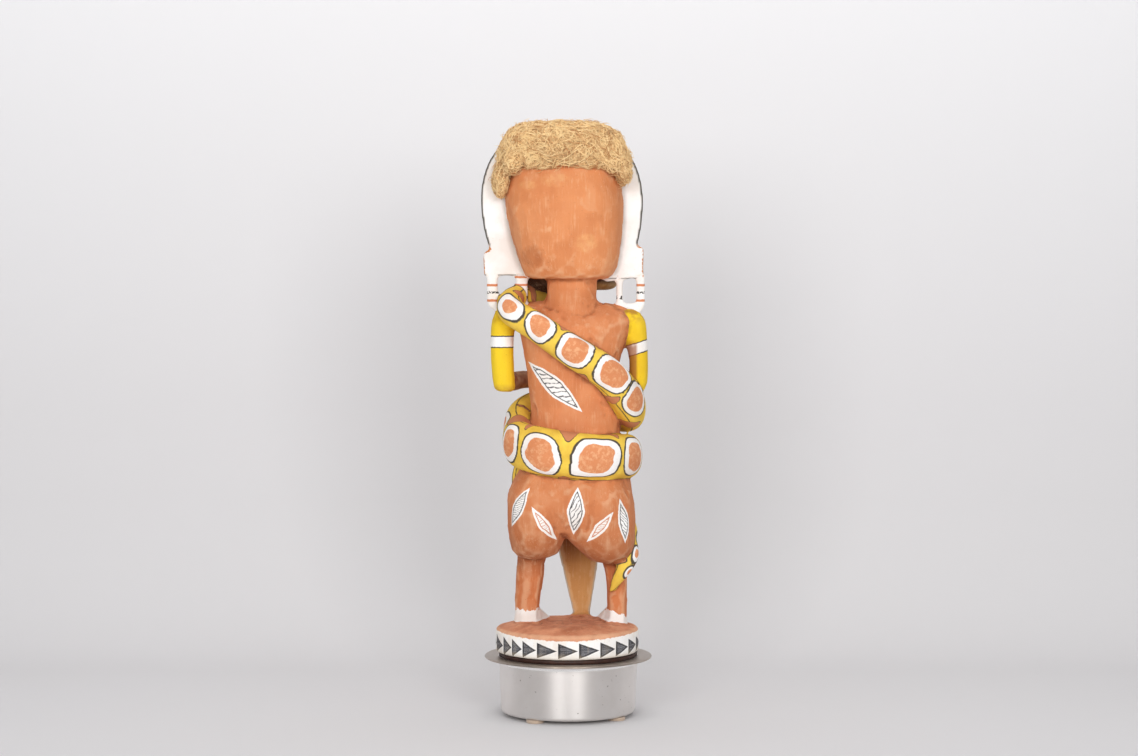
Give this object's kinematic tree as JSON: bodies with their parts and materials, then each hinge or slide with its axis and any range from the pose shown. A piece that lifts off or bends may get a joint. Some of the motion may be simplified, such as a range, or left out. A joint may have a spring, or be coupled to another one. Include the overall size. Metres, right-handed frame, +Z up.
{
  "type": "wooden ancestor figure on a metal stand",
  "caption": "Carved and painted wooden standing figure wound about by a patterned snake, with a fibre wig, on its own disc and a round metal stand.",
  "frame": {"origin": "on the floor, midway between the sides of the whole object", "axes": "+Z up; the figure looks along -Y and its left is +X; the picture sees it from behind, from +Y"},
  "size_m": [0.154, 0.151, 0.5342],
  "materials": {
    "painted_wood": "matt earth paint in terracotta, white, yellow and black on knife-cut wood",
    "plant_fibre": "matted straw-coloured plant fibre",
    "stand_metal": "spun and lightly brushed, scuffed",
    "dark_insert": "dark brown, matt",
    "pad_felt": "beige felt"
  },
  "bodies": {
    "root": {"carved_figure": "painted_wood", "fibre_wig": "plant_fibre", "stand_drum": "stand_metal", "stand_insert": "dark_insert", "stand_pad_1": "pad_felt", "stand_pad_2": "pad_felt", "stand_pad_3": "pad_felt", "stand_pad_4": "pad_felt"}
  },
  "joints": []
}
